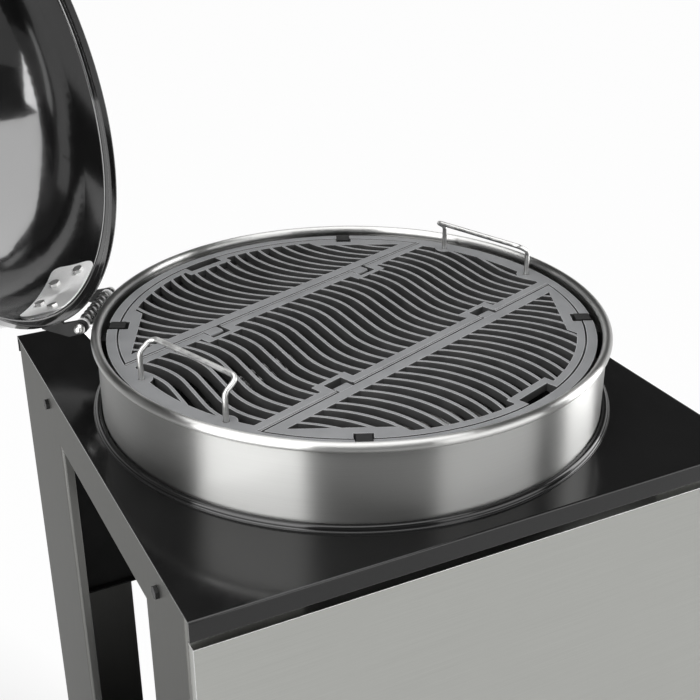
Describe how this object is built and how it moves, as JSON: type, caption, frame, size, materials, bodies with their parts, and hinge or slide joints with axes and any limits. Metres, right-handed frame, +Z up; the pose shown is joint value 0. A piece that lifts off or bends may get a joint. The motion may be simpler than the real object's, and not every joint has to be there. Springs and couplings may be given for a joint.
{
  "type": "kettle grill in a cart table",
  "caption": "Charcoal kettle grill sunk into a wheeled cart table, with a hinged domed lid, a lift-off cast grate with hinged flaps, an ash sweeper and an ash pan.",
  "frame": {"origin": "on the floor under the kettle's axis, the middle of the worktop's opening", "axes": "+X to the right along the front edge, +Y to the back, +Z up"},
  "size_m": [0.9368, 0.8542, 1.4988],
  "materials": {
    "enamel": "gloss vitreous enamel",
    "stainless": "fine brushed",
    "cast_grate": "matt satin coat",
    "bright_wire": "bright",
    "black_steel": "satin powder coat",
    "spring_steel": "drawn wire",
    "fasteners": "zinc plated",
    "polished_steel": "polished",
    "dial_glass": "clear",
    "plain_steel": "mill finish",
    "aluminium_pan": "drawn",
    "grip": "matt",
    "caster_metal": "zinc plated",
    "caster_wheel": "matt tread"
  },
  "bodies": {
    "cart": {"worktop": "enamel", "collar": "stainless", "bowl": "enamel", "collar_bolts": "fasteners", "grate_supports": "black_steel", "hinge_bracket": "stainless", "hinge_rod": "bright_wire", "hinge_spring": "spring_steel", "ash_pan_hooks": "black_steel", "side_panel_left": "stainless", "side_panel_right": "stainless", "side_bolts": "fasteners", "top_cleats": "black_steel", "front_panel": "stainless", "back_panel": "black_steel", "bottom_shelf": "black_steel", "shelf_bolts": "fasteners", "caster_plates": "caster_metal"},
    "lid": {"lid_shell": "enamel", "lid_bracket": "black_steel", "lid_backing_plate": "stainless", "lid_hinge_nuts": "fasteners", "lid_handle": "polished_steel", "lid_handle_posts": "polished_steel", "lid_gauge": "polished_steel", "gauge_glass": "dial_glass", "damper_rivet": "fasteners"},
    "damper": {"lid_damper": "polished_steel"},
    "cooking_grate": {"grate_frame": "cast_grate", "grate_clips": "black_steel", "grate_handle_left": "bright_wire", "grate_handle_right": "bright_wire"},
    "front_flap": {"grate_flap_front": "cast_grate"},
    "back_flap": {"grate_flap_back": "cast_grate"},
    "coal_grate": {"charcoal_grate": "plain_steel"},
    "sweeper": {"ash_sweeper": "plain_steel", "sweeper_lever": "plain_steel", "lever_knob": "grip"},
    "pan": {"ash_pan": "aluminium_pan"},
    "fork_front_left": {"caster_fork_front_left": "caster_metal", "caster_axle_front_left": "caster_metal"},
    "wheel_front_left": {"caster_wheel_front_left": "caster_wheel"},
    "fork_front_right": {"caster_fork_front_right": "caster_metal", "caster_axle_front_right": "caster_metal"},
    "wheel_front_right": {"caster_wheel_front_right": "caster_wheel"},
    "fork_back_left": {"caster_fork_back_left": "caster_metal", "caster_axle_back_left": "caster_metal"},
    "wheel_back_left": {"caster_wheel_back_left": "caster_wheel"},
    "fork_back_right": {"caster_fork_back_right": "caster_metal", "caster_axle_back_right": "caster_metal"},
    "wheel_back_right": {"caster_wheel_back_right": "caster_wheel"}
  },
  "joints": [
    {"name": "lid_hinge", "type": "hinge", "parent": "cart", "child": "lid", "pos_m": [-0.25238, 0.18002, 0.8945], "axis": [-0.5807, -0.8141, 0], "range_deg": [-108.4, 0]},
    {"name": "damper_turn", "type": "hinge", "parent": "lid", "child": "damper", "pos_m": [-0.52265, 0.3728, 1.11077], "axis": [-0.7725, 0.551, -0.3156], "range_deg": [0, 60]},
    {"name": "grate_lift", "type": "slide", "parent": "cart", "child": "cooking_grate", "axis": [0, 0, 1], "range_m": [0, 0.2]},
    {"name": "front_flap_hinge", "type": "hinge", "parent": "cooking_grate", "child": "front_flap", "pos_m": [0.03432, -0.09179, 0.895], "axis": [-0.9367, -0.3502, 0], "range_deg": [0, 95]},
    {"name": "back_flap_hinge", "type": "hinge", "parent": "cooking_grate", "child": "back_flap", "pos_m": [-0.03432, 0.09179, 0.895], "axis": [0.9367, 0.3502, 0], "range_deg": [0, 95]},
    {"name": "coal_grate_lift", "type": "slide", "parent": "cart", "child": "coal_grate", "axis": [0, 0, 1], "range_m": [0, 0.15]},
    {"name": "sweeper_turn", "type": "hinge", "parent": "cart", "child": "sweeper", "pos_m": [0, 0, 0.59], "axis": [0, 0, 1], "range_deg": [-50, 50]},
    {"name": "pan_twist", "type": "hinge", "parent": "cart", "child": "pan", "pos_m": [0, 0, 0.57], "axis": [0, 0, 1], "range_deg": [0, 60]},
    {"name": "swivel_front_left", "type": "hinge", "parent": "cart", "child": "fork_front_left", "pos_m": [-0.249, -0.247, 0.1], "axis": [0, 0, 1], "continuous": true},
    {"name": "spin_front_left", "type": "hinge", "parent": "fork_front_left", "child": "wheel_front_left", "pos_m": [-0.227, -0.247, 0.0375], "axis": [0, 1, 0], "continuous": true},
    {"name": "swivel_front_right", "type": "hinge", "parent": "cart", "child": "fork_front_right", "pos_m": [0.249, -0.247, 0.1], "axis": [0, 0, 1], "continuous": true},
    {"name": "spin_front_right", "type": "hinge", "parent": "fork_front_right", "child": "wheel_front_right", "pos_m": [0.271, -0.247, 0.0375], "axis": [0, 1, 0], "continuous": true},
    {"name": "swivel_back_left", "type": "hinge", "parent": "cart", "child": "fork_back_left", "pos_m": [-0.249, 0.247, 0.1], "axis": [0, 0, 1], "continuous": true},
    {"name": "spin_back_left", "type": "hinge", "parent": "fork_back_left", "child": "wheel_back_left", "pos_m": [-0.227, 0.247, 0.0375], "axis": [0, 1, 0], "continuous": true},
    {"name": "swivel_back_right", "type": "hinge", "parent": "cart", "child": "fork_back_right", "pos_m": [0.249, 0.247, 0.1], "axis": [0, 0, 1], "continuous": true},
    {"name": "spin_back_right", "type": "hinge", "parent": "fork_back_right", "child": "wheel_back_right", "pos_m": [0.271, 0.247, 0.0375], "axis": [0, 1, 0], "continuous": true}
  ]
}
